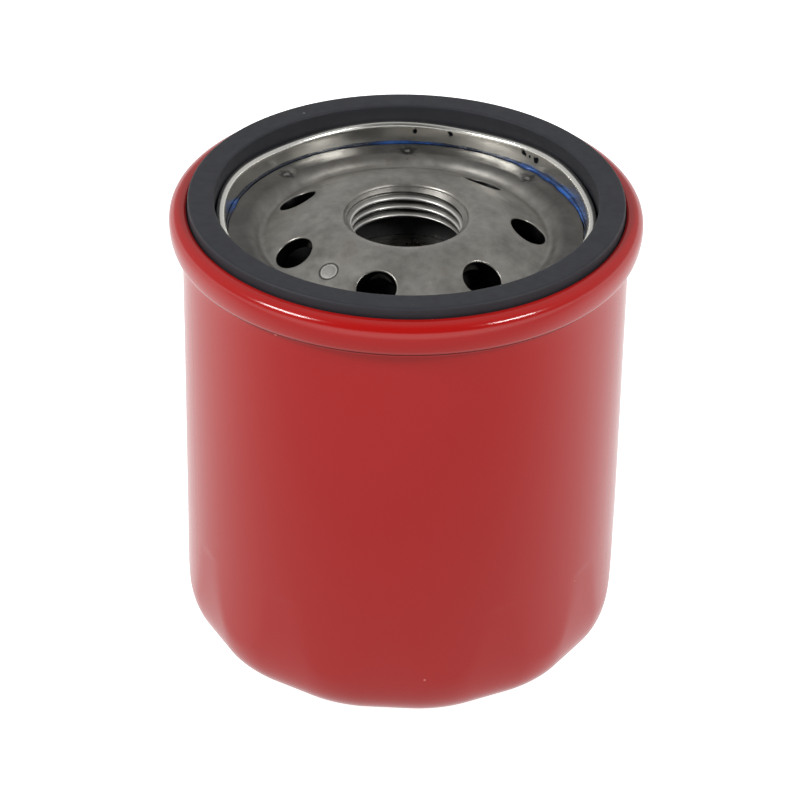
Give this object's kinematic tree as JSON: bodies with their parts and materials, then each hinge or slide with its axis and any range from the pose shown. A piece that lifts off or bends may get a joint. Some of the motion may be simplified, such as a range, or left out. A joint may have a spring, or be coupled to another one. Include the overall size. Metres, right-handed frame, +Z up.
{
  "type": "spin-on oil filter",
  "caption": "Short spin-on engine oil filter: red faceted can with rolled seam, rubber gasket, base plate with inlet holes and a threaded centre, and a full working inside.",
  "frame": {"origin": "centre of the flat closed end that the filter stands on", "axes": "+Z runs up the filter's axis to the gasket and thread; the inlet hole nearest -Y is 13.2 degrees round towards -X"},
  "size_m": [0.076, 0.076, 0.0784],
  "materials": {
    "can_paint": "glossy red enamel on drawn steel",
    "lid_steel": "red enamel on the seam, bare bright steel on the lip and channel",
    "lining_compound": "cured seam lining",
    "plate_steel": "dull oiled stamped steel",
    "blue_sealant": "glossy cured blue compound",
    "gasket_rubber": "satin black nitrile",
    "valve_rubber": "matte black nitrile",
    "cap_steel": "bright tinned sheet",
    "potting_resin": "cured plastisol adhesive",
    "filter_paper": "resin-soaked pleated paper",
    "tube_steel": "perforated galvanised sheet",
    "valve_steel": "zinc-plated pressing",
    "spring_steel": "oil-tempered spring steel"
  },
  "bodies": {
    "filter": {"can": "can_paint", "seaming_lid": "lid_steel", "seam_compound": "lining_compound", "base_plate": "plate_steel", "joint_sealant": "blue_sealant", "gasket": "gasket_rubber", "anti_drain_valve": "valve_rubber", "upper_end_cap": "cap_steel", "upper_potting": "potting_resin", "pleated_media": "filter_paper", "media_seam_clip": "cap_steel", "center_tube": "tube_steel", "lower_potting": "potting_resin", "lower_end_cap": "cap_steel", "bypass_cage": "valve_steel", "bypass_spring": "spring_steel", "element_spring": "spring_steel"},
    "bypass_valve": {"bypass_poppet": "valve_steel", "bypass_seal": "valve_rubber"},
    "anti_drain_skirt": {"anti_drain_flap": "valve_rubber"}
  },
  "joints": [
    {"name": "bypass_lift", "type": "slide", "parent": "filter", "child": "bypass_valve", "axis": [0, 0, 1], "range_m": [0, 0.003], "stiffness_N_per_m": 1900, "springref_m": -0.0035, "deforming": ["bypass_spring"]},
    {"name": "anti_drain_open", "type": "slide", "parent": "filter", "child": "anti_drain_skirt", "axis": [0, 0, -1], "range_m": [0, 0.0015], "stiffness_N_per_m": 200, "springref_m": -0.001}
  ]
}
